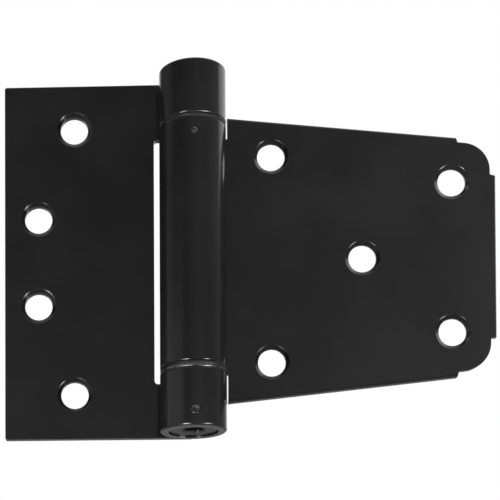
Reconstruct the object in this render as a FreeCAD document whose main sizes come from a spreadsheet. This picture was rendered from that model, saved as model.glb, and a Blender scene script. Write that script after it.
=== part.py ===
import FreeCAD, Part
import math
import os

import Sketcher

# Self-closing T hinge for a gate: a square-cornered post leaf and a tapered
# gate leaf, both rolled from steel plate around one barrel, with a torsion
# spring, its tension adjuster and the bearings inside the barrel.
#
# Frame: the pin axis is +Z, the origin is on that axis in the barrel's bottom
# end plane. The post leaf points to -X and the gate leaf to +X with the hinge
# flat. -Y is the show side, where the barrel stands out; the faces that bolt
# to the post and the gate look to +Y. Millimetres.

os.makedirs("parts", exist_ok=True)
doc = FreeCAD.newDocument("t_hinge")

# ---------------------------------------------------------------- dimensions
# In the names, low and high are heights along Z, and half is a height above
# or below mid_height.
DIMS = [
    # both leaves and the barrel
    ("leaf_height", 139.7), ("plate_gauge", 3.2), ("barrel_rad", 12.8), ("bore_rad", 9.6),
    ("curl_gap", 0.3), ("curl_far", 11.5), ("post_curl_near", 2.2), ("gate_curl_near", 4.95),
    ("lower_top", 22.25), ("gate_low", 24.65), ("gate_high", 117.55), ("upper_low", 118.8),
    ("knuckle_edge", 0.5), ("end_edge", 0.75),
    # bolt holes and their countersinks
    ("hole_rad", 5.4), ("sink_wide", 1.45), ("sink_deep", 0.95), ("rim_edge", 0.4),
    # post leaf
    ("post_reach", 73.1), ("corner_rad", 0.8), ("edge_rad", 0.45),
    ("slot_low", 21.2), ("slot_high", 117.75), ("slot_edge", 14.45), ("slot_step", 9.2),
    ("slot_corner_rad", 1.3),
    ("post_near_hole_x", 45.65), ("post_near_hole_half", 52.45),
    ("post_far_hole_x", 59.8), ("post_far_hole_half", 17.2),
    # gate leaf
    ("gate_gauge", 2.1), ("gate_bore", 10.7), ("gate_start", 14.3), ("gate_root", 4.9),
    ("root_overlap", 3.0), ("gate_reach", 118.45), ("gate_start_half", 56.23),
    ("rim_end_x", 103.2), ("rim_end_half", 46.96), ("step_x", 103.65), ("step_half", 44.9),
    ("inner_x", 116.1), ("inner_half", 43.6), ("side_step_half", 31.95), ("side_rim_half", 31.55),
    ("rim_depth", 3.2), ("bend_rad", 1.1), ("gate_corner_rad", 10.9), ("gate_step_rad", 0.7),
    ("gate_near_hole_x", 31.4), ("gate_near_hole_half", 40.55), ("gate_middle_hole_x", 66.75),
    ("gate_far_hole_x", 101.45), ("gate_far_hole_half", 29.4),
    # pivot rod, its plug, spring pin and cap
    ("rod_rad", 3.96), ("rod_low", 28.0), ("rod_high", 136.4), ("rod_edge", 0.7),
    ("plug_rad", 9.55), ("plug_low", 119.4), ("plug_high", 137.1), ("plug_edge", 0.6),
    ("rod_hole", 4.0), ("pin_z", 129.0), ("pin_rad", 1.6), ("pin_bore", 0.9),
    ("pin_front", 7.0), ("pin_length", 19.5), ("pin_slot_half_width", 0.3),
    ("cap_rad", 9.55), ("cap_low", 137.3), ("cap_recess", 1.0), ("cap_height", 2.32),
    # thrust washers
    ("washer_rad", 12.72), ("ring_edge", 0.28), ("washer_hole", 4.3),
    ("upper_washer_low", 117.62), ("upper_washer_high", 118.73),
    ("low_washer_low", 22.32), ("low_washer_high", 23.25), ("low_washer_hole", 8.15),
    # bushes
    ("nylon_flange_low", 23.32), ("nylon_bore", 8.06), ("nylon_rad", 10.64), ("nylon_high", 40.6),
    ("nylon_step", 0.4), ("nylon_low_edge", 0.2), ("nylon_high_edge", 0.6), ("flange_gap", 0.05),
    ("bush_bore", 4.02), ("bush_rad", 5.0), ("bush_flange_rad", 7.5), ("bush_top_gap", 0.1),
    # spring anchor
    ("anchor_rad", 10.65), ("anchor_low", 103.5), ("anchor_high", 116.4), ("anchor_edge", 0.5),
    ("spigot_rad", 6.3), ("spigot_low", 96.8), ("anchor_bore", 5.03),
    ("anchor_slot_deep", 5.0), ("tang_slot_width", 3.3),
    # set screws; screw_face and the tips are distances from the pin axis towards -Y
    ("screw_rad", 1.95), ("anchor_screw_rad", 1.55), ("hole_clearance", 0.05),
    ("anchor_screw_z", 112.1), ("lock_screw_z", 6.2), ("screw_face", 12.35),
    ("anchor_screw_tip", 6.4), ("lock_screw_tip", 8.75), ("anchor_socket", 1.5),
    ("lock_socket", 2.0), ("socket_deep", 1.8), ("screw_face_edge", 0.25),
    ("screw_tip_inset", 0.6), ("screw_tip_length", 0.5),
    # spring and its sleeve
    ("wire_rad", 1.5), ("coil_rad", 7.9), ("coil_low", 46.0), ("coil_pitch", 3.6),
    ("coil_turns", 15), ("tang_low_end", 4.7), ("tang_high_end", 5.35), ("bend_swell", 0.04),
    ("sleeve_out", 10.5), ("sleeve_in", 9.8), ("sleeve_low", 43.2), ("sleeve_high", 103.2),
    # adjuster and its circlip
    ("adjuster_low", 0.65), ("adjuster_edge", 0.5), ("groove_rad", 8.6), ("groove_half_width", 2.2),
    ("shoulder_gap", 0.25), ("neck_rad", 8.0), ("neck_high", 42.6), ("tip_rad", 6.2),
    ("tip_high", 50.0), ("tip_bore", 4.02), ("rod_end_gap", 0.6), ("hex_across", 7.94),
    ("hex_depth", 7.0), ("lead_wide", 5.25), ("lead_narrow", 3.9), ("lead_deep", 1.15),
    ("tang_slot_drop", 1.8), ("clip_low", 41.0), ("clip_gauge", 1.0), ("clip_play", 0.05),
    ("clip_seat_rad", 7.2), ("clip_out", 9.2), ("clip_in", 7.3),
]
# sizes that the sheet works out from the others
FORMULAS = [
    ("mid_height", "=leaf_height / 2"),
    ("pin_hole", "=pin_rad + hole_clearance"),
    ("screw_hole", "=screw_rad + hole_clearance"),
    ("anchor_hole", "=anchor_screw_rad + hole_clearance"),
    ("coil_length", "=coil_turns * coil_pitch"),
]
sheet = doc.addObject("Spreadsheet::Sheet", "Sheet")
for row, (alias, content) in enumerate(DIMS + FORMULAS, start=1):
    sheet.set("A%d" % row, alias)
    sheet.set("B%d" % row, content if isinstance(content, str) else repr(content))
    sheet.setAlias("B%d" % row, alias)
doc.recompute()


# ---------------------------------------------------------------- lengths
def wording(value):
    """How a length or a plain number is written in an expression."""
    return getattr(value, "text", None) or "(%.8f)" % value


class Length(float):
    """A number that also carries its sheet expression through +, - and *.

    Subtracting or multiplying with the Length on the right of a plain number
    gives a plain number.
    """

    def __new__(cls, value, text):
        length = super().__new__(cls, value)
        length.text = text
        return length

    def __add__(self, other):
        value = float(self) + float(other)
        return Length(value, "(%s + %s)" % (self.text, wording(other)))

    def __radd__(self, other):
        value = float(other) + float(self)
        return Length(value, "(%s + %s)" % (wording(other), self.text))

    def __sub__(self, other):
        value = float(self) - float(other)
        return Length(value, "(%s - %s)" % (self.text, wording(other)))

    def __mul__(self, other):
        value = float(self) * float(other)
        return Length(value, "(%s * %s)" % (self.text, wording(other)))

    def __neg__(self):
        return Length(-float(self), "(-%s)" % self.text)


class Dimensions:
    """Every alias of the sheet as a Length, such as dim.bore_rad."""


dim = Dimensions()
for alias, content in DIMS + FORMULAS:
    number = float(sheet.get(alias)) if isinstance(content, str) else content
    setattr(dim, alias, Length(number, "Sheet." + alias))


def express(obj, path, value):
    """Bind a property or constraint to a length; a plain number is left as it is."""
    text = getattr(value, "text", None)
    if text:
        obj.setExpression(path, text)


def bind(obj, key, value):
    setattr(obj, key, float(value))
    express(obj, key, value)


# ---------------------------------------------------------------- sketches
def new_body(name):
    body = doc.addObject("PartDesign::Body", name)
    body.Label = name
    return body


def new_sketch(body, name, role="XZ_Plane", offset=None):
    """A sketch on an origin plane. XZ_Plane faces -Y, so its offset counts towards -Y."""
    plane = [o for o in body.Origin.OriginFeatures if o.Role == role][0]
    sketch = body.newObject("Sketcher::SketchObject", name)
    sketch.AttachmentSupport = (plane, [""])
    sketch.MapMode = "FlatFace"
    if offset is not None:
        sketch.AttachmentOffset = FreeCAD.Placement(
            FreeCAD.Vector(0, 0, float(offset)), FreeCAD.Rotation())
        express(sketch, ".AttachmentOffset.Base.z", offset)
    return sketch


def constrain(sketch, kind, *places, value):
    index = sketch.addConstraint(Sketcher.Constraint(kind, *places, float(value)))
    express(sketch, "Constraints[%d]" % index, value)


def put_point(sketch, geometry, position, x, y):
    """Fix one point of a sketch by its two distances from the origin."""
    for kind, axis, value in (("DistanceX", -2, x), ("DistanceY", -1, y)):
        if value == 0 and not isinstance(value, Length):
            # the point lies on an axis: -1 is the horizontal one, -2 the vertical
            sketch.addConstraint(
                Sketcher.Constraint("PointOnObject", geometry, position, axis))
        else:
            constrain(sketch, kind, -1, 1, geometry, position, value=value)


def polygon(sketch, points):
    first = sketch.GeometryCount
    count = len(points)
    corners = [FreeCAD.Vector(float(x), float(y), 0) for x, y in points]
    for i in range(count):
        sketch.addGeometry(Part.LineSegment(corners[i], corners[(i + 1) % count]), False)
    for i in range(count):
        sketch.addConstraint(
            Sketcher.Constraint("Coincident", first + i, 2, first + (i + 1) % count, 1))
    for i, (x, y) in enumerate(points):
        put_point(sketch, first + i, 1, x, y)


def rectangle(sketch, x0, x1, y0, y1):
    polygon(sketch, [(x0, y0), (x1, y0), (x1, y1), (x0, y1)])


def hexagon(sketch, across, first_angle, centre_y):
    """A hexagon by its width across flats, its centre on the vertical axis."""
    points = []
    for k in range(6):
        angle = math.radians(60 * k + first_angle)
        x, y = [0 if abs(part) < 1e-9 else across * (part / math.sqrt(3.0))
                for part in (math.cos(angle), math.sin(angle))]
        points.append((x, centre_y + y))
    polygon(sketch, points)


def circle(sketch, x, y, radius):
    centre = FreeCAD.Vector(float(x), float(y), 0)
    index = sketch.addGeometry(
        Part.Circle(centre, FreeCAD.Vector(0, 0, 1), float(radius)), False)
    put_point(sketch, index, 3, x, y)
    constrain(sketch, "Radius", index, value=radius)


def rounded_section(sketch, r_in, r_out, low, high, low_edge, high_edge):
    """Half section of a ring: square inside, its two outer corners rounded."""
    points = [(r_in, low), (r_out - low_edge, low), (r_out, low + low_edge),
              (r_out, high - high_edge), (r_out - high_edge, high), (r_in, high)]
    corners = [FreeCAD.Vector(float(x), float(y), 0) for x, y in points]
    lines = [sketch.addGeometry(Part.LineSegment(corners[i], corners[j]), False)
             for i, j in ((0, 1), (2, 3), (4, 5), (5, 0))]
    arcs = []
    for height, edge, start in ((low + low_edge, low_edge, -math.pi / 2),
                                (high - high_edge, high_edge, 0.0)):
        centre = FreeCAD.Vector(float(r_out - edge), float(height), 0)
        whole = Part.Circle(centre, FreeCAD.Vector(0, 0, 1), float(edge))
        arcs.append(sketch.addGeometry(
            Part.ArcOfCircle(whole, start, start + math.pi / 2), False))
    loop = [lines[0], arcs[0], lines[1], arcs[1], lines[2], lines[3]]
    for i, geometry in enumerate(loop):
        sketch.addConstraint(
            Sketcher.Constraint("Coincident", geometry, 2, loop[(i + 1) % 6], 1))
    ends = [(lines[0], 1), (lines[0], 2), (lines[1], 1), (lines[1], 2), (lines[2], 1),
            (lines[3], 1)]
    for (geometry, end), (x, y) in zip(ends, points):
        put_point(sketch, geometry, end, x, y)
    for arc, edge in zip(arcs, (low_edge, high_edge)):
        constrain(sketch, "Radius", arc, value=edge)


# ---------------------------------------------------------------- features
def extrude(kind, body, sketch, length, name, reverse, midplane):
    feature = body.newObject("PartDesign::" + kind, name)
    feature.Profile = sketch
    bind(feature, "Length", length)
    feature.Reversed = reverse
    feature.Midplane = midplane
    sketch.Visibility = False
    doc.recompute()


def pad(body, sketch, length, name, reverse=False):
    """Add material along the sketch normal: -Y on XZ_Plane, +Z on XY_Plane."""
    extrude("Pad", body, sketch, length, name, reverse, False)


def pocket(body, sketch, length, name, reverse=False, midplane=False):
    """Cut against the sketch normal: +Y on XZ_Plane, -Z on XY_Plane."""
    before = body.Shape.Volume
    extrude("Pocket", body, sketch, length, name, reverse, midplane)
    if not body.Shape.Volume < before - 1e-3:
        raise RuntimeError(name + " cut nothing")


def revolve(body, sketch, name, kind="Revolution"):
    """Turn a sketch a full circle about its vertical axis."""
    doc.recompute()
    feature = body.newObject("PartDesign::" + kind, name)
    feature.Profile = sketch
    feature.ReferenceAxis = (sketch, ["V_Axis"])
    feature.Angle = 360.0
    sketch.Visibility = False
    doc.recompute()


def turned(name, points):
    """A round piece: the half section (radius, height) turned about the pin axis."""
    body = new_body(name)
    sketch = new_sketch(body, name + "_section")
    polygon(sketch, points)
    revolve(body, sketch, name + "_turn")
    return body


def ring(body, name, r_in, r_out, low, high, low_edge, high_edge):
    """Add a ring about the pin axis with rounded outer corners."""
    sketch = new_sketch(body, name + "_section")
    rounded_section(sketch, r_in, r_out, low, high, low_edge, high_edge)
    revolve(body, sketch, name)


def near(a, b, tolerance=0.02):
    return abs(a - b) < tolerance


def edges_where(body, test):
    return ["Edge%d" % i for i, edge in enumerate(body.Shape.Edges, start=1) if test(edge)]


def box_of(edge):
    box = edge.BoundBox
    return box.XMin, box.XMax, box.YMin, box.YMax, box.ZMin, box.ZMax


def dress(body, kind, name, edges, size, second_size=None):
    """A fillet or chamfer on named edges of the body's last feature."""
    if not edges:
        raise RuntimeError(name + " found no edges")
    base = body.Tip
    volume = body.Shape.Volume
    feature = body.newObject("PartDesign::" + kind, name)
    feature.Base = (base, edges)
    bind(feature, "Radius" if kind == "Fillet" else "Size", size)
    if second_size is not None:
        feature.ChamferType = "Two distances"
        bind(feature, "Size2", second_size)
    doc.recompute()
    if "Invalid" in feature.State or "Error" in feature.State or not body.Shape.isValid():
        raise RuntimeError(name + " failed")
    if near(volume, body.Shape.Volume, 1e-6):
        raise RuntimeError(name + " changed nothing")


# ---------------------------------------------------------------- leaves
def on_show_face(edge):
    """True for an edge that lies in the leaves' show face."""
    _, _, y0, y1, _, _ = box_of(edge)
    return near(y0, dim.bore_rad) and near(y1, dim.bore_rad)


def both_halves(places):
    """Places (x, distance from mid height) above and then below mid height."""
    return ([(x, dim.mid_height + z) for x, z in places]
            + [(x, dim.mid_height - z) for x, z in places])


def closed_outline(half):
    """A symmetric outline from its half (x, distance from mid height), lower half first."""
    return ([(x, dim.mid_height - z) for x, z in half]
            + [(x, dim.mid_height + z) for x, z in reversed(half)])


def rim_edges(body, centres, radius):
    """Circles of this radius about the centres (x, z) in the show face."""
    def test(edge):
        if not hasattr(edge.Curve, "Radius") or not near(edge.Curve.Radius, radius, 1e-3):
            return False
        centre = edge.Curve.Center
        return near(centre.y, dim.bore_rad) and any(
            near(centre.x, x) and near(centre.z, z) for x, z in centres)
    return edges_where(body, test)


def bolt_holes(body, leaf, centres):
    """Through holes, countersunk from the show side, with softened rims."""
    sketch = new_sketch(body, leaf + "_hole_centres")
    for x, z in centres:
        circle(sketch, x, z, dim.hole_rad)
    pocket(body, sketch, 60.0, leaf + "_bolt_holes", midplane=True)
    dress(body, "Chamfer", leaf + "_countersinks", rim_edges(body, centres, dim.hole_rad),
          dim.sink_wide, dim.sink_deep)
    sink_rad = dim.hole_rad + dim.sink_wide
    if not rim_edges(body, centres, sink_rad):
        # the larger size belongs on the show face: turn the two sizes round
        body.Tip.FlipDirection = True
        doc.recompute()
    dress(body, "Fillet", leaf + "_sink_rims", rim_edges(body, centres, sink_rad), dim.rim_edge)


def tapped_hole(body, name, cut_name, height, radius, offset=None, reverse=False):
    """A hole along Y through the pin axis; reverse runs it to the show side."""
    sketch = new_sketch(body, name, offset=offset)
    circle(sketch, 0, height, radius)
    pocket(body, sketch, 20.0, cut_name, reverse=reverse)


def post_leaf():
    body = new_body("post_leaf")
    sketch = new_sketch(body, "post_plate_outline", offset=-dim.bore_rad)
    rectangle(sketch, -dim.post_reach, 0, 0, dim.leaf_height)
    pad(body, sketch, dim.plate_gauge, "post_plate", reverse=True)

    def edges_across_plate(x):
        def test(edge):
            x0, x1, y0, y1, _, _ = box_of(edge)
            return (near(x0, x) and near(x1, x) and near(edge.Length, dim.plate_gauge)
                    and not near(y0, y1))
        return edges_where(body, test)

    def is_outer_show_edge(edge):
        x0, x1 = box_of(edge)[:2]
        return on_show_face(edge) and not (near(x0, 0) and near(x1, 0))

    dress(body, "Fillet", "post_corners", edges_across_plate(-dim.post_reach), dim.corner_rad)
    dress(body, "Fillet", "post_show_edges", edges_where(body, is_outer_show_edge), dim.edge_rad)

    # opening for the gate knuckle, cut in the plate before the two knuckles are added
    past_plate = 5.0
    sketch = new_sketch(body, "post_opening")
    polygon(sketch, [
        (-dim.slot_edge, dim.slot_low), (-dim.slot_step, dim.slot_low),
        (-dim.slot_step, dim.lower_top), (past_plate, dim.lower_top),
        (past_plate, dim.upper_low), (-dim.slot_step, dim.upper_low),
        (-dim.slot_step, dim.slot_high), (-dim.slot_edge, dim.slot_high)])
    pocket(body, sketch, 80.0, "post_knuckle_gap", midplane=True)
    dress(body, "Fillet", "post_slot_corners", edges_across_plate(-dim.slot_edge),
          dim.slot_corner_rad)
    ring(body, "post_lower_knuckle", dim.bore_rad, dim.barrel_rad,
         0, dim.lower_top, dim.end_edge, dim.knuckle_edge)
    ring(body, "post_upper_knuckle", dim.bore_rad, dim.barrel_rad,
         dim.upper_low, dim.leaf_height, dim.knuckle_edge, dim.end_edge)

    # the end of the rolled plate stops just short of the plate's own face
    sketch = new_sketch(body, "post_curl_end", "XY_Plane")
    rectangle(sketch, -dim.curl_far, -dim.post_curl_near,
              dim.bore_rad - dim.curl_gap, dim.bore_rad)
    pocket(body, sketch, dim.leaf_height + 4.0, "post_curl_slit", reverse=True)

    bolt_holes(body, "post", both_halves([
        (-dim.post_near_hole_x, dim.post_near_hole_half),
        (-dim.post_far_hole_x, dim.post_far_hole_half)]))

    # lock screw hole on the show side, spring pin hole at the rear
    tapped_hole(body, "post_lock_hole", "post_lock_tap", dim.lock_screw_z, dim.screw_hole,
                reverse=True)
    tapped_hole(body, "post_pin_hole", "post_pin_bore", dim.pin_z, dim.pin_hole)
    return body


def gate_tray(body):
    """Hollow the gate plate from the rear, leaving its bent-back rims."""
    slope = ((dim.gate_start_half - dim.rim_end_half) / (dim.rim_end_x - dim.gate_start))
    # the sloping rim's thickness, measured along Z
    drop = dim.gate_gauge * math.sqrt(1 + slope * slope)
    overrun = 1.0
    clear_x, clear_half = 125.0, 52.0
    sketch = new_sketch(body, "gate_tray", offset=-dim.bore_rad - dim.gate_gauge)
    polygon(sketch, closed_outline([
        (dim.gate_start - overrun, dim.gate_start_half + slope * overrun - drop),
        (dim.rim_end_x, dim.rim_end_half - drop),
        (dim.rim_end_x, clear_half),
        (clear_x, clear_half),
        (clear_x, dim.side_rim_half),
        (dim.gate_reach - dim.gate_gauge, dim.side_rim_half)]))
    pocket(body, sketch, 4.0, "gate_tray_cut")


def gate_leaf():
    body = new_body("gate_leaf")
    sketch = new_sketch(body, "gate_outline", offset=-dim.bore_rad)
    polygon(sketch, closed_outline([
        (dim.gate_start, dim.gate_start_half), (dim.rim_end_x, dim.rim_end_half),
        (dim.step_x, dim.step_half), (dim.inner_x, dim.inner_half),
        (dim.inner_x, dim.side_step_half), (dim.gate_reach, dim.side_rim_half)]))
    pad(body, sketch, dim.rim_depth, "gate_plate", reverse=True)

    def edges_across_plate(corners):
        def test(edge):
            x0, x1, y0, y1, z0, z1 = box_of(edge)
            return y1 - y0 > 0.5 and any(
                near(x0, x) and near(x1, x) and near(z0, z) and near(z1, z)
                for x, z in both_halves(corners))
        return edges_where(body, test)

    def is_bend(edge):
        x0, x1 = box_of(edge)[:2]
        if not on_show_face(edge) or edge.Length < 40:
            return False
        at_start = near(x0, dim.gate_start) and near(x1, dim.gate_start)
        return x0 > dim.gate_start - 1 and not at_start

    dress(body, "Fillet", "gate_round_corners",
          edges_across_plate([(dim.inner_x, dim.inner_half)]), dim.gate_corner_rad)
    dress(body, "Fillet", "gate_step_fillets",
          edges_across_plate([(dim.step_x, dim.step_half), (dim.inner_x, dim.side_step_half)]),
          dim.gate_step_rad)

    # the three straight edges are bent back: a bend radius outside, a tray inside
    dress(body, "Fillet", "gate_bends", edges_where(body, is_bend), dim.bend_rad)
    gate_tray(body)

    # the root of the leaf runs to the knuckle that is rolled from it
    sketch = new_sketch(body, "gate_root_outline", offset=-dim.bore_rad)
    rectangle(sketch, dim.gate_root, dim.gate_start + dim.root_overlap,
              dim.gate_low, dim.gate_high)
    pad(body, sketch, dim.gate_gauge, "gate_root_plate", reverse=True)
    ring(body, "gate_knuckle", dim.gate_bore, dim.barrel_rad,
         dim.gate_low, dim.gate_high, dim.knuckle_edge, dim.knuckle_edge)
    sketch = new_sketch(body, "gate_curl_end", "XY_Plane", dim.gate_low - 2.0)
    rectangle(sketch, dim.gate_curl_near, dim.curl_far,
              dim.bore_rad - dim.curl_gap, dim.bore_rad)
    pocket(body, sketch, 120.0, "gate_curl_slit", reverse=True)

    pairs = both_halves([(dim.gate_near_hole_x, dim.gate_near_hole_half),
                         (dim.gate_far_hole_x, dim.gate_far_hole_half)])
    bolt_holes(body, "gate", pairs + [(dim.gate_middle_hole_x, dim.mid_height)])
    tapped_hole(body, "gate_anchor_hole", "gate_anchor_tap", dim.anchor_screw_z,
                dim.anchor_hole, reverse=True)
    return body


# ---------------------------------------------------------------- upper knuckle
def chamfered_section(r_in, r_out, low, high, edge):
    """Half section with both outer corners chamfered."""
    return [(r_in, low), (r_out - edge, low), (r_out, low + edge),
            (r_out, high - edge), (r_out - edge, high), (r_in, high)]


def upper_pivot_plug():
    body = turned("upper_pivot_plug", chamfered_section(
        dim.rod_hole, dim.plug_rad, dim.plug_low, dim.plug_high, dim.plug_edge))
    sketch = new_sketch(body, "plug_pin_hole", offset=7.5)
    circle(sketch, 0, dim.pin_z, dim.pin_hole)
    pocket(body, sketch, 30.0, "plug_pin_bore")
    return body


def pivot_rod():
    body = turned("pivot_rod", chamfered_section(
        0, dim.rod_rad, dim.rod_low, dim.rod_high, dim.rod_edge))
    sketch = new_sketch(body, "rod_pin_hole")
    circle(sketch, 0, dim.pin_z, dim.pin_hole)
    pocket(body, sketch, 30.0, "rod_pin_bore", midplane=True)
    return body


def upper_lock_pin():
    """Spring pin: a tube slotted on top, driven in from the rear."""
    body = new_body("upper_lock_pin")
    sketch = new_sketch(body, "pin_section", offset=dim.pin_front)
    circle(sketch, 0, dim.pin_z, dim.pin_rad)
    circle(sketch, 0, dim.pin_z, dim.pin_bore)
    pad(body, sketch, dim.pin_length, "pin_tube", reverse=True)
    sketch = new_sketch(body, "pin_slot", offset=dim.pin_front + 1.0)
    rectangle(sketch, -dim.pin_slot_half_width, dim.pin_slot_half_width,
              dim.pin_z, dim.pin_z + 2.5)
    pocket(body, sketch, 30.0, "pin_slot_cut")
    return body


# inset from the cap's radius, height above cap_low
CAP_PROFILE = [(1.0, 1.0), (1.0, 0.0), (0.0, 0.0), (0.0, 1.6), (0.5, 2.0), (4.0, 2.25)]


def top_cap():
    """Low domed cap with a recess under it."""
    outside = [(dim.cap_rad - inset, dim.cap_low + rise) for inset, rise in CAP_PROFILE]
    return turned("top_cap", [(0, dim.cap_low + dim.cap_recess)] + outside
                  + [(0, dim.cap_low + dim.cap_height)])


# ---------------------------------------------------------------- seams
def thrust_washer(name, ring_name, hole, low, high):
    body = new_body(name)
    ring(body, ring_name, hole, dim.washer_rad, low, high, dim.ring_edge, dim.ring_edge)
    return body


def lower_bush():
    """Flanged bush between the adjuster's neck and the gate knuckle."""
    body = new_body("lower_bush")
    ring(body, "bush_flange", dim.nylon_bore, dim.washer_rad, dim.nylon_flange_low,
         dim.gate_low - dim.flange_gap, dim.ring_edge, dim.ring_edge)
    ring(body, "bush_barrel", dim.nylon_bore, dim.nylon_rad,
         dim.nylon_flange_low + dim.nylon_step, dim.nylon_high,
         dim.nylon_low_edge, dim.nylon_high_edge)
    return body


# ---------------------------------------------------------------- spring anchor
def tang_slot(body, name, cut_name, reach, low, high):
    """A slot from the pin axis towards +X for a leg of the spring."""
    sketch = new_sketch(body, name)
    rectangle(sketch, 0, reach, low, high)
    pocket(body, sketch, dim.tang_slot_width, cut_name, midplane=True)


def spring_anchor_plug():
    body = turned("spring_anchor_plug", [
        (dim.anchor_bore, dim.spigot_low), (dim.spigot_rad, dim.spigot_low),
        (dim.spigot_rad, dim.anchor_low), (dim.anchor_rad, dim.anchor_low),
        (dim.anchor_rad, dim.anchor_high - dim.anchor_edge),
        (dim.anchor_rad - dim.anchor_edge, dim.anchor_high),
        (dim.anchor_bore, dim.anchor_high)])
    tang_slot(body, "anchor_tang_slot", "anchor_tang_cut", 8.0,
              dim.spigot_low - 1.0, dim.spigot_low + dim.anchor_slot_deep)
    tapped_hole(body, "anchor_screw_hole", "anchor_screw_tap", dim.anchor_screw_z,
                dim.anchor_hole, offset=6.2, reverse=True)
    return body


def upper_bush():
    flange_low = dim.anchor_high + dim.flange_gap
    flange_high = dim.gate_high - dim.bush_top_gap
    return turned("upper_bush", [
        (dim.bush_bore, dim.spigot_low), (dim.bush_rad, dim.spigot_low),
        (dim.bush_rad, flange_low), (dim.bush_flange_rad, flange_low),
        (dim.bush_flange_rad, flange_high), (dim.bush_bore, flange_high)])


def set_screw(name, height, tip, radius, across):
    """A short socket set screw lying along Y, its driven end on the show side."""
    body = new_body(name)
    sketch = new_sketch(body, name + "_section", "XY_Plane", height)
    face = -dim.screw_face
    polygon(sketch, [
        (0, face), (radius - dim.screw_face_edge, face), (radius, face + dim.screw_face_edge),
        (radius, tip - dim.screw_tip_length), (radius - dim.screw_tip_inset, tip), (0, tip)])
    revolve(body, sketch, name + "_turn")
    sketch = new_sketch(body, name + "_socket", offset=dim.screw_face)
    hexagon(sketch, across, 30, height)
    pocket(body, sketch, dim.socket_deep, name + "_socket_cut")
    return body


# ---------------------------------------------------------------- adjuster
def tension_adjuster():
    """Stepped plug with a lock groove, a circlip seat and a bore for the pivot rod."""
    low = dim.adjuster_low
    groove_low = dim.lock_screw_z - dim.groove_half_width
    groove_high = dim.lock_screw_z + dim.groove_half_width
    shoulder = dim.lower_top - dim.shoulder_gap
    seat_low = dim.clip_low - dim.clip_play
    seat_high = dim.clip_low + dim.clip_gauge + dim.clip_play
    bore_end = dim.rod_low - dim.rod_end_gap
    body = turned("tension_adjuster", [
        (0, low), (dim.plug_rad - dim.adjuster_edge, low),
        (dim.plug_rad, low + dim.adjuster_edge),
        (dim.plug_rad, groove_low), (dim.groove_rad, groove_low),
        (dim.groove_rad, groove_high), (dim.plug_rad, groove_high),
        (dim.plug_rad, shoulder), (dim.neck_rad, shoulder),
        (dim.neck_rad, seat_low), (dim.clip_seat_rad, seat_low),
        (dim.clip_seat_rad, seat_high), (dim.neck_rad, seat_high),
        (dim.neck_rad, dim.neck_high), (dim.tip_rad, dim.neck_high),
        (dim.tip_rad, dim.tip_high), (dim.tip_bore, dim.tip_high),
        (dim.tip_bore, bore_end), (0, bore_end)])

    # hexagon socket in the bottom end, with a conical lead-in
    sketch = new_sketch(body, "adjuster_hex", "XY_Plane", low)
    hexagon(sketch, dim.hex_across, 0, 0)
    pocket(body, sketch, dim.hex_depth, "adjuster_hex_cut", reverse=True)
    before = body.Shape.Volume
    sketch = new_sketch(body, "adjuster_lead_section")
    polygon(sketch, [(0, low - 0.2), (dim.lead_wide, low - 0.2),
                     (dim.lead_narrow, low + dim.lead_deep), (0, low + dim.lead_deep)])
    revolve(body, sketch, "adjuster_lead_in", "Groove")
    if not body.Shape.Volume < before - 1e-3:
        raise RuntimeError("adjuster_lead_in cut nothing")

    tang_slot(body, "adjuster_tang_slot", "adjuster_tang_cut", 7.0,
              dim.coil_low - dim.tang_slot_drop, dim.tip_high + 1.0)
    return body


# x, y of the wedge that opens the circlip towards +X
CLIP_MOUTH = [(0.5, 0.6), (11.0, 5.5), (11.0, -5.5), (0.5, -0.6)]


def adjuster_circlip():
    body = new_body("adjuster_circlip")
    sketch = new_sketch(body, "clip_ring", "XY_Plane", dim.clip_low)
    circle(sketch, 0, 0, dim.clip_out)
    circle(sketch, 0, 0, dim.clip_in)
    pad(body, sketch, dim.clip_gauge, "clip_plate")
    sketch = new_sketch(body, "clip_mouth", "XY_Plane", dim.clip_low - 1.0)
    polygon(sketch, CLIP_MOUTH)
    pocket(body, sketch, 4.0, "clip_mouth_cut", reverse=True)
    return body


# ---------------------------------------------------------------- spring
def spring_sleeve():
    """Thin tube around the spring."""
    body = new_body("spring_sleeve")
    sketch = new_sketch(body, "sleeve_section", "XY_Plane", dim.sleeve_low)
    circle(sketch, 0, 0, dim.sleeve_out)
    circle(sketch, 0, 0, dim.sleeve_in)
    pad(body, sketch, dim.sleeve_high - dim.sleeve_low, "sleeve_tube")
    return body


def placed(kind, name, x, z, rotation, **sizes):
    """A driven Part object in the XZ plane."""
    obj = doc.addObject("Part::" + kind, name)
    for key, value in sizes.items():
        bind(obj, key, value)
    obj.Placement = FreeCAD.Placement(FreeCAD.Vector(float(x), 0, float(z)), rotation)
    express(obj, ".Placement.Base.x", x)
    express(obj, ".Placement.Base.z", z)
    return obj


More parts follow.
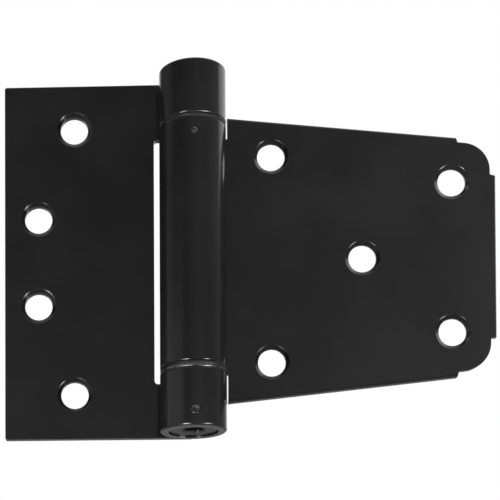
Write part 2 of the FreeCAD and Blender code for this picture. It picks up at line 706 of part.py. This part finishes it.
def torsion_spring():
    """A coil with a leg turned in towards the pin axis at each end."""
    upright = FreeCAD.Rotation()
    across_coil = FreeCAD.Rotation(FreeCAD.Vector(1, 0, 0), 90)
    along_x = FreeCAD.Rotation(FreeCAD.Vector(0, 1, 0), 90)
    helix = placed("Helix", "coil_path", 0, dim.coil_low, upright,
                   Pitch=dim.coil_pitch, Height=dim.coil_length, Radius=dim.coil_rad)
    wire = placed("Circle", "coil_wire", dim.coil_rad, dim.coil_low, across_coil,
                  Radius=dim.wire_rad)
    doc.recompute()
    sweep = doc.addObject("Part::Sweep", "coil_body")
    sweep.Sections = [wire]
    sweep.Spine = (helix, [])
    sweep.Solid = True
    sweep.Frenet = True
    doc.recompute()

    pieces = [sweep]
    for name, z, leg_end in (("low", dim.coil_low, dim.tang_low_end),
                             ("high", dim.coil_low + dim.coil_length, dim.tang_high_end)):
        pieces.append(placed("Sphere", "tang_bend_" + name, dim.coil_rad, z, upright,
                             Radius=dim.wire_rad + dim.bend_swell))
        pieces.append(placed("Cylinder", "tang_" + name, leg_end, z, along_x,
                             Radius=dim.wire_rad, Height=dim.coil_rad - leg_end))
    spring = doc.addObject("Part::MultiFuse", "torsion_spring")
    spring.Label = "torsion_spring"
    spring.Shapes = pieces
    doc.recompute()
    return spring


# ---------------------------------------------------------------- build and write
nodes = [
    post_leaf(),
    gate_leaf(),
    upper_pivot_plug(),
    pivot_rod(),
    upper_lock_pin(),
    top_cap(),
    thrust_washer("upper_thrust_washer", "upper_ring", dim.washer_hole,
                  dim.upper_washer_low, dim.upper_washer_high),
    thrust_washer("lower_thrust_washer", "lower_ring", dim.low_washer_hole,
                  dim.low_washer_low, dim.low_washer_high),
    lower_bush(),
    spring_anchor_plug(),
    upper_bush(),
    set_screw("anchor_screw", dim.anchor_screw_z, -dim.anchor_screw_tip,
              dim.anchor_screw_rad, dim.anchor_socket),
    set_screw("adjuster_lock_screw", dim.lock_screw_z, -dim.lock_screw_tip,
              dim.screw_rad, dim.lock_socket),
    tension_adjuster(),
    adjuster_circlip(),
    spring_sleeve(),
    torsion_spring(),
]
doc.recompute()
for obj in doc.Objects:
    if "Invalid" in obj.State or "Error" in obj.State:
        raise RuntimeError("%s is %s" % (obj.Name, obj.State))
for node in nodes:
    shape = node.Shape
    if shape.isNull() or not shape.isValid() or shape.Volume <= 0 or len(shape.Solids) < 1:
        raise RuntimeError("bad shape in " + node.Label)
for node in nodes:
    node.Shape.exportStep(os.path.join("parts", node.Label + ".step"))
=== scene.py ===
import math

import bpy
from mathutils import Matrix, Vector


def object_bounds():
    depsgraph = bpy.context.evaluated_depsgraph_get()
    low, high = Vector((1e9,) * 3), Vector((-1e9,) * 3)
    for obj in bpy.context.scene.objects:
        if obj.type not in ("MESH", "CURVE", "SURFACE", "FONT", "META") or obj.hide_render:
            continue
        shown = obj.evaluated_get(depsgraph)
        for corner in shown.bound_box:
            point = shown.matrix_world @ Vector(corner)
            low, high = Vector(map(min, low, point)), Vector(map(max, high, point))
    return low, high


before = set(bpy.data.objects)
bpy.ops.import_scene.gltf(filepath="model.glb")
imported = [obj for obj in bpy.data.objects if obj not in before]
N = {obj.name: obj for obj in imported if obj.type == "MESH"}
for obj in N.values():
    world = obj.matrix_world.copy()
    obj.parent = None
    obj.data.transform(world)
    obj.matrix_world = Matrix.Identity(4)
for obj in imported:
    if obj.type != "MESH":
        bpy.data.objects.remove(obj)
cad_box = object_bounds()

scene = bpy.context.scene
scene.view_settings.view_transform = "Standard"
scene.view_settings.look = "None"
scene.view_settings.exposure = 0.0
scene.view_settings.gamma = 1.0


# ------------------------------------------------------------------ node helpers
class Graph:
    """Short hand for building a node tree: every call returns an output socket."""

    def __init__(self, tree):
        self.t = tree

    def node(self, kind, **props):
        n = self.t.nodes.new(kind)
        for k, v in props.items():
            setattr(n, k, v)
        return n

    def put(self, socket, value):
        if isinstance(value, bpy.types.NodeSocket):
            self.t.links.new(value, socket)
        elif value is not None:
            socket.default_value = value

    def math(self, op, a, b=None, c=None, clamp=False):
        n = self.node("ShaderNodeMath", operation=op, use_clamp=clamp)
        self.put(n.inputs[0], a)
        if b is not None:
            self.put(n.inputs[1], b)
        if c is not None:
            self.put(n.inputs[2], c)
        return n.outputs[0]

    def add(self, *terms):
        out = terms[0]
        for x in terms[1:]:
            out = self.math("ADD", out, x)
        return out

    def mul(self, *terms):
        out = terms[0]
        for x in terms[1:]:
            out = self.math("MULTIPLY", out, x)
        return out

    def ramp(self, x, lo, hi, a=0.0, b=1.0):
        n = self.node("ShaderNodeMapRange", interpolation_type="SMOOTHSTEP", clamp=True)
        for i, v in enumerate((x, lo, hi, a, b)):
            self.put(n.inputs[i], v)
        return n.outputs[0]

    def bell(self, x, centre, half):
        """1 at centre, 0 at centre +- half, smooth."""
        d = self.math("ABSOLUTE", self.math("SUBTRACT", x, centre))
        return self.ramp(d, 0.0, half, 1.0, 0.0)

    def noise(self, vec, scale, detail=2.0, rough=0.5, dist=0.0):
        n = self.node("ShaderNodeTexNoise")
        self.put(n.inputs["Vector"], vec)
        n.inputs["Scale"].default_value = scale
        n.inputs["Detail"].default_value = detail
        n.inputs["Roughness"].default_value = rough
        n.inputs["Distortion"].default_value = dist
        return n.outputs[0]

    def bump(self, height, strength, distance, normal=None):
        n = self.node("ShaderNodeBump")
        n.inputs["Strength"].default_value = strength
        n.inputs["Distance"].default_value = distance
        self.put(n.inputs["Height"], height)
        if normal is not None:
            self.put(n.inputs["Normal"], normal)
        return n.outputs[0]

    def mix(self, fac, a, b):
        n = self.node("ShaderNodeMix", data_type="RGBA")
        self.put(n.inputs[0], fac)
        self.put(n.inputs[6], a if isinstance(a, bpy.types.NodeSocket) else (*a, 1.0))
        self.put(n.inputs[7], b if isinstance(b, bpy.types.NodeSocket) else (*b, 1.0))
        return n.outputs[2]


def new_material(name):
    m = bpy.data.materials.new(name)
    m.use_nodes = True
    m.node_tree.nodes.clear()
    g = Graph(m.node_tree)
    out = g.node("ShaderNodeOutputMaterial")
    bsdf = g.node("ShaderNodeBsdfPrincipled")
    g.t.links.new(bsdf.outputs[0], out.inputs["Surface"])
    coord = g.node("ShaderNodeTexCoord").outputs["Object"]
    return m, g, bsdf, coord, out


def edge_mask(g, radius, samples=4):
    """(rounded normal, 0..1 mask that is 1 on sharp outside edges)."""
    bev = g.node("ShaderNodeBevel", samples=samples)
    bev.inputs["Radius"].default_value = radius
    geo = g.node("ShaderNodeNewGeometry")
    dot = g.node("ShaderNodeVectorMath", operation="DOT_PRODUCT")
    g.put(dot.inputs[0], bev.outputs[0])
    g.put(dot.inputs[1], geo.outputs["Normal"])
    return bev.outputs[0], g.ramp(dot.outputs["Value"], 0.995, 0.86, 0.0, 1.0)


def steepen(g, co, normal, factor):
    """Makes the flat cones of the bolt holes look like 90 degree countersinks; the barrel is left as it is."""
    inside = g.node("ShaderNodeVectorTransform", vector_type="NORMAL", convert_from="WORLD", convert_to="OBJECT")
    g.put(inside.inputs[0], normal)
    part = g.node("ShaderNodeSeparateXYZ")
    g.put(part.inputs[0], inside.outputs[0])
    px, py, pz = part.outputs
    place = g.node("ShaderNodeSeparateXYZ")
    g.put(place.inputs[0], co)
    away = g.ramp(g.math("ABSOLUTE", place.outputs[0]), 0.020, 0.023)
    lean = g.math("SQRT", g.add(g.mul(px, px), g.mul(pz, pz)))
    k = g.add(1.0, g.mul(g.ramp(lean, 0.18, 0.34), away, factor - 1.0))
    join = g.node("ShaderNodeCombineXYZ")
    for i, v in enumerate((g.mul(px, k), py, g.mul(pz, k))):
        g.put(join.inputs[i], v)
    unit = g.node("ShaderNodeVectorMath", operation="NORMALIZE")
    g.put(unit.inputs[0], join.outputs[0])
    back = g.node("ShaderNodeVectorTransform", vector_type="NORMAL", convert_from="OBJECT", convert_to="WORLD")
    g.put(back.inputs[0], unit.outputs[0])
    return back.outputs[0]


def powder_coat(name, base, rough_lo, rough_hi, coat, edge_light):
    """Semi-gloss powder coat: orange peel, slow thickness waves, a few dust nibs, thinner on edges."""
    m, g, b, co, out = new_material(name)
    normal, edge = edge_mask(g, 0.0002, 4)
    tone = g.noise(co, 28.0, 3.0)
    fine = g.noise(co, 900.0, 2.0, 0.6)
    dark = tuple(c * 0.82 for c in base)
    lite = tuple(c * 1.22 for c in base)
    col = g.mix(g.ramp(tone, 0.3, 0.7), dark, lite)
    col = g.mix(g.mul(g.ramp(fine, 0.62, 0.8), 0.35), col, tuple(c * 1.9 for c in base))
    col = g.mix(g.mul(edge, 0.55), col, edge_light)
    g.put(b.inputs["Base Color"], col)
    patch = g.noise(co, 55.0, 3.0, 0.55)
    rough = g.ramp(patch, 0.3, 0.7, rough_lo, rough_hi)
    # handling marks: long faint scuffs, a little duller than the rest
    stretch = g.node("ShaderNodeMapping")
    g.put(stretch.inputs["Vector"], co)
    stretch.inputs["Scale"].default_value = (1.0, 1.0, 0.16)
    stretch.inputs["Rotation"].default_value = (0.0, 0.5, 0.0)
    scuff = g.noise(stretch.outputs[0], 260.0, 4.0, 0.7, 0.4)
    rough = g.add(rough, g.mul(g.ramp(scuff, 0.64, 0.78), 0.09))
    g.put(b.inputs["Roughness"], rough)
    b.inputs["Specular IOR Level"].default_value = 0.5
    b.inputs["Coat Weight"].default_value = coat
    b.inputs["Coat Roughness"].default_value = 0.06
    b.inputs["Coat IOR"].default_value = 1.45
    peel = g.noise(co, 620.0, 1.5, 0.5)
    wave = g.noise(co, 95.0, 1.0, 0.4)
    nib = g.node("ShaderNodeTexVoronoi")
    g.put(nib.inputs["Vector"], co)
    nib.inputs["Scale"].default_value = 190.0
    speck = g.ramp(nib.outputs["Distance"], 0.0, 0.055, 1.0, 0.0)
    n1 = g.bump(wave, 0.22, 0.00035, normal)
    n2 = g.bump(peel, 0.16, 0.00006, n1)
    n3 = g.bump(speck, 0.35, 0.00007, n2)
    g.put(b.inputs["Normal"], steepen(g, co, n3, 1.54))
    g.put(b.inputs["Coat Normal"], steepen(g, co, n1, 1.54))
    return m


def turned_metal(name, base, metallic, rough, ring, edge_light, stain=0.25, axis="Z", socket=0.0):
    """Turned or plated steel: fine tool rings round the axis, stains and brighter worn edges; with socket set,
    painted shade darkens the hex socket.
    """
    m, g, b, co, out = new_material(name)
    normal, edge = edge_mask(g, 0.0002, 4)
    tone = g.noise(co, 160.0, 4.0, 0.6)
    col = g.mix(g.ramp(tone, 0.3, 0.72), tuple(c * (1 - stain) for c in base), tuple(c * (1 + stain) for c in base))
    col = g.mix(g.mul(edge, 0.7), col, edge_light)
    g.put(b.inputs["Base Color"], col)
    b.inputs["Metallic"].default_value = metallic
    g.put(b.inputs["Roughness"], g.ramp(g.noise(co, 420.0, 3.0), 0.3, 0.7, rough * 0.8, rough * 1.25))
    sep = g.node("ShaderNodeSeparateXYZ")
    g.put(sep.inputs[0], co)
    x, y, z = sep.outputs
    r = g.math("SQRT", g.add(g.mul(x, x), g.mul(y, y))) if axis == "Z" else x
    if socket:
        # painted shade: inside the hex socket the colour is taken to black and the specular turned down, standing in
        # for the shade in the deep recess
        socket_shade = g.mul(g.ramp(z, socket, socket + 0.0008), g.ramp(r, 0.0047, 0.0050, 1.0, 0.0))
        g.put(b.inputs["Base Color"], g.mix(g.mul(socket_shade, 0.93), col, (0.0, 0.0, 0.0)))
        g.put(b.inputs["Specular IOR Level"], g.ramp(socket_shade, 0.0, 1.0, 0.5, 0.05))
    saw = g.math("SINE", g.mul(r, ring))
    lines = g.math("SINE", g.mul(z, ring))
    n1 = g.bump(g.add(saw, g.mul(lines, 0.6), g.mul(g.noise(co, 1500.0, 2.0), 0.8)), 0.10, 0.00003, normal)
    g.put(b.inputs["Normal"], n1)
    return m


def moulded(name, base, rough, grain, edge_light, sheen=0.0):
    """Moulded nylon: fine spark-eroded grain, faint flow marks, a slightly polished edge."""
    m, g, b, co, out = new_material(name)
    normal, edge = edge_mask(g, 0.0002, 4)
    flow = g.noise(co, 90.0, 3.0, 0.6, 0.8)
    col = g.mix(g.ramp(flow, 0.3, 0.7), tuple(c * 0.8 for c in base), tuple(c * 1.3 for c in base))
    col = g.mix(g.mul(edge, 0.5), col, edge_light)
    g.put(b.inputs["Base Color"], col)
    g.put(b.inputs["Roughness"], g.ramp(g.noise(co, 300.0, 2.0), 0.3, 0.7, rough - 0.06, rough + 0.08))
    g.put(b.inputs["Normal"], g.bump(g.noise(co, grain, 2.0, 0.6), 0.25, 0.00005, normal))
    return m


BLACK = (0.0245, 0.0245, 0.0250)
coat_mat = powder_coat("coat_black", BLACK, 0.13, 0.21, 0.35, (0.055, 0.055, 0.057))
adjuster_mat = turned_metal("plated_black", (0.15, 0.15, 0.153), 0.9, 0.34, 9000.0, (0.42, 0.42, 0.43), socket=0.0009)
screw_mat = turned_metal("screw_oxide", (0.10, 0.10, 0.105), 0.9, 0.30, 7000.0, (0.55, 0.55, 0.56))
washer_mat = turned_metal("washer_zinc", (0.20, 0.20, 0.205), 0.9, 0.28, 12000.0, (0.7, 0.7, 0.71))
rod_mat = turned_metal("rod_ground", (0.55, 0.55, 0.56), 1.0, 0.16, 15000.0, (0.8, 0.8, 0.8), 0.06)
spring_mat = turned_metal("spring_wire", (0.09, 0.09, 0.095), 0.95, 0.32, 5000.0, (0.3, 0.3, 0.31), 0.3)
bronze_mat = turned_metal("bush_bronze", (0.45, 0.26, 0.11), 0.95, 0.38, 8000.0, (0.7, 0.48, 0.25), 0.25)
nylon_mat = moulded("nylon_black", (0.012, 0.012, 0.0125), 0.42, 1400.0, (0.05, 0.05, 0.052))
cap_mat = moulded("cap_black", (0.014, 0.014, 0.0145), 0.48, 1100.0, (0.05, 0.05, 0.052))

LOOK = {
    "post_leaf": coat_mat, "gate_leaf": coat_mat, "tension_adjuster": adjuster_mat, "adjuster_lock_screw": screw_mat,
    "anchor_screw": screw_mat, "upper_lock_pin": screw_mat, "adjuster_circlip": screw_mat, "lower_thrust_washer": washer_mat,
    "pivot_rod": rod_mat, "upper_pivot_plug": adjuster_mat, "spring_anchor_plug": adjuster_mat, "torsion_spring": spring_mat,
    "upper_bush": bronze_mat, "lower_bush": nylon_mat, "upper_thrust_washer": nylon_mat, "spring_sleeve": nylon_mat,
    "top_cap": cap_mat,
}
for name, obj in N.items():
    obj.data.materials.clear()
    obj.data.materials.append(LOOK[name])

# ------------------------------------------------------------------ floor
bpy.ops.mesh.primitive_plane_add(size=8.0, location=(0.02, 0.0, cad_box[0].z - 0.0006))
floor = bpy.context.object
floor.name = "floor"
fm = bpy.data.materials.new("floor_pale")
fm.use_nodes = True
fm.node_tree.nodes.clear()
g = Graph(fm.node_tree)
out = g.node("ShaderNodeOutputMaterial")
co = g.node("ShaderNodeTexCoord").outputs["Object"]
dif = g.node("ShaderNodeBsdfDiffuse")
g.put(dif.inputs["Color"], g.mix(g.ramp(g.noise(co, 6.0, 3.0), 0.3, 0.7), (0.76, 0.76, 0.755), (0.80, 0.80, 0.80)))
emi = g.node("ShaderNodeEmission")
emi.inputs["Color"].default_value = (1, 1, 1, 1)
emi.inputs["Strength"].default_value = 0.22
both = g.node("ShaderNodeAddShader")
g.put(both.inputs[0], dif.outputs[0])
g.put(both.inputs[1], emi.outputs[0])
clear = g.node("ShaderNodeBsdfTransparent")
side = g.node("ShaderNodeMixShader")
g.put(side.inputs[0], g.node("ShaderNodeNewGeometry").outputs["Backfacing"])
g.put(side.inputs[1], both.outputs[0])
g.put(side.inputs[2], clear.outputs[0])
g.put(out.inputs["Surface"], side.outputs[0])
floor.data.materials.append(fm)
floor.visible_shadow = False
floor.visible_diffuse = False
floor.visible_glossy = False
floor.visible_transmission = False

# ------------------------------------------------------------------ light
world = bpy.data.worlds.new("studio")
scene.world = world
world.use_nodes = True
world.node_tree.nodes.clear()
g = Graph(world.node_tree)
out = g.node("ShaderNodeOutputWorld")
sep = g.node("ShaderNodeSeparateXYZ")
g.put(sep.inputs[0], g.node("ShaderNodeTexCoord").outputs["Generated"])
x, y, z = sep.outputs
flat = g.math("SQRT", g.math("MAXIMUM", g.add(g.mul(x, x), g.mul(y, y)), 1e-6))
ay = g.math("DIVIDE", y, flat)
azimuth = g.math("MULTIPLY", g.math("ARCTAN2", x, g.math("MULTIPLY", y, -1.0)), 180.0 / math.pi)


def around(points):
    """Brightness round the room: points are (degrees from the front, + to the right; brightness)."""
    n = g.node("ShaderNodeFloatCurve")
    curve = n.mapping.curves[0]
    pts = [((p[0] + 180.0) / 360.0, p[1]) for p in points]
    while len(curve.points) < len(pts):
        curve.points.new(0.5, 0.5)
    for c, (px, py) in zip(curve.points, pts):
        c.location = (px, py)
        c.handle_type = "AUTO_CLAMPED"
    n.mapping.extend = "HORIZONTAL"
    n.mapping.update()
    g.put(n.inputs["Value"], g.math("DIVIDE", g.math("ADD", azimuth, 180.0), 360.0))
    return n.outputs[0]


HIGH = [(-180, 1.0), (-158, 1.0), (-150, 0.55), (-142, 0.12), (-120, 0.09), (-107, 0.17), (-96, 0.16), (-85, 0.15), (-79, 0.10), (-74, 0.06),
        (-58, 0.06), (-42, 0.08), (-27, 0.10), (-13, 0.13), (2, 0.15), (16, 0.17), (30, 0.155), (46, 0.15), (61, 0.165), (77, 0.20), (92, 0.22),
        (99, 0.35), (107, 1.0), (180, 1.0)]
LOW = [(-180, 1.0), (-158, 1.0), (-150, 0.55), (-142, 0.30), (-120, 0.36), (-105, 0.42), (-94, 0.42), (-84, 0.44), (-66, 0.47), (-49, 0.46),
       (-42, 0.40), (-34, 0.21), (-26, 0.165), (-17, 0.18), (-4, 0.25), (10, 0.275), (21, 0.30), (31, 0.245), (46, 0.20), (62, 0.175),
       (79, 0.18), (98, 0.21), (128, 0.24), (142, 0.45), (156, 1.0), (180, 1.0)]
high, low = around(HIGH), around(LOW)
level = g.add(g.mul(high, g.ramp(z, 0.235, 0.355)), g.mul(low, g.ramp(z, 0.235, 0.355, 1.0, 0.0)))
# a pale cove below a darker ceiling, and a dark apron in front below with two small lamps standing on it
level = g.add(g.mul(level, g.ramp(z, 0.52, 0.74, 1.0, 0.0)), g.ramp(z, 0.52, 0.74, 0.0, 0.95))
level = g.mul(level, g.ramp(z, 0.76, 0.86, 1.0, 0.38))
apron = g.mul(g.ramp(z, 0.10, -0.05), g.ramp(ay, -0.1, -0.5))
level = g.add(g.mul(level, g.math("SUBTRACT", 1.0, apron)), g.mul(apron, 0.22))
# the ground far behind is a mid grey
ground = g.mul(g.ramp(z, 0.04, -0.10), g.ramp(ay, -0.1, 0.2))
level = g.add(g.mul(level, g.math("SUBTRACT", 1.0, ground)), g.mul(ground, 0.27))
lamps = g.add(g.mul(g.bell(azimuth, -29.0, 18.0), g.bell(z, -0.44, 0.19)), g.mul(g.bell(azimuth, 49.0, 20.0), g.bell(z, -0.40, 0.19)))
path = g.node("ShaderNodeLightPath")
lamp_power = g.node("ShaderNodeValue", name="lamp_power")
lamp_power.outputs[0].default_value = 64.0
level = g.add(level, g.mul(lamps, path.outputs["Is Glossy Ray"], lamp_power.outputs[0]))
bg = g.node("ShaderNodeBackground")
bg.inputs["Color"].default_value = (1, 1, 1, 1)
g.put(bg.inputs["Strength"], level)
white = g.node("ShaderNodeBackground")
white.inputs["Color"].default_value = (1, 1, 1, 1)
white.inputs["Strength"].default_value = 1.0
pick = g.node("ShaderNodeMixShader")
g.put(pick.inputs[0], g.node("ShaderNodeLightPath").outputs["Is Camera Ray"])
g.put(pick.inputs[1], bg.outputs[0])
g.put(pick.inputs[2], white.outputs[0])
g.put(out.inputs["Surface"], pick.outputs[0])


def haze_light(name, where, radius, power):
    """A soft light that only fills matt surfaces and is never mirrored."""
    data = bpy.data.lights.new(name, "POINT")
    data.shadow_soft_size = radius
    data.energy = power
    obj = bpy.data.objects.new(name, data)
    scene.collection.objects.link(obj)
    obj.location = where
    obj.visible_camera = False
    obj.visible_glossy = False
    obj.visible_transmission = False
    return obj


haze_light("haze_right", (0.190, -0.090, 0.112), 0.02, 0.38)

# ------------------------------------------------------------------ camera
F, U0, V0 = 1467.85660, 33.94965, 732.59701
SPOT = Vector((-0.04013098, -0.56360552, -0.19789230 + 0.06985))
TILT = (-0.02231, -0.00255, -0.03811)


def rotation(rx, ry, rz):
    """Turn about the fixed X, then Y, then Z."""
    return (Matrix.Rotation(rz, 3, "Z") @ Matrix.Rotation(ry, 3, "Y") @ Matrix.Rotation(rx, 3, "X"))


R = rotation(*TILT)
cam_data = bpy.data.cameras.new("camera")
cam = bpy.data.objects.new("camera", cam_data)
scene.collection.objects.link(cam)
scene.camera = cam
cam_data.sensor_fit = "HORIZONTAL"
cam_data.sensor_width = 36.0
cam_data.lens = F / 500.0 * 36.0
cam_data.clip_start, cam_data.clip_end = 0.02, 50.0
right, ahead, up = R[0], R[1], R[2]
basis = Matrix((right, up, -ahead)).transposed()
cam.matrix_world = Matrix.Translation(SPOT) @ basis.to_4x4()


def spot_driver(owner, path, value, other):
    """One value while the camera stands at its own spot, another from anywhere else."""
    drv = owner.driver_add(path).driver
    drv.type = "SCRIPTED"
    for key, kind in (("px", "LOC_X"), ("py", "LOC_Y")):
        var = drv.variables.new()
        var.name = key
        var.type = "TRANSFORMS"
        var.targets[0].id = cam
        var.targets[0].transform_type = kind
        var.targets[0].transform_space = "WORLD_SPACE"
    drv.expression = "%.6f if abs(px - (%.6f)) + abs(py - (%.6f)) < 0.001 else %.6f" % (value, SPOT.x, SPOT.y, other)


# from other places the lens looks straight ahead, and the two lamps are dimmed so that the leaves don't mirror them whole
spot_driver(cam_data, "shift_x", (250.0 - U0) / 500.0, 0.0)
spot_driver(cam_data, "shift_y", (V0 - 250.0) / 500.0, 0.0)
spot_driver(world.node_tree, 'nodes["lamp_power"].outputs[0].default_value', 64.0, 1.0)
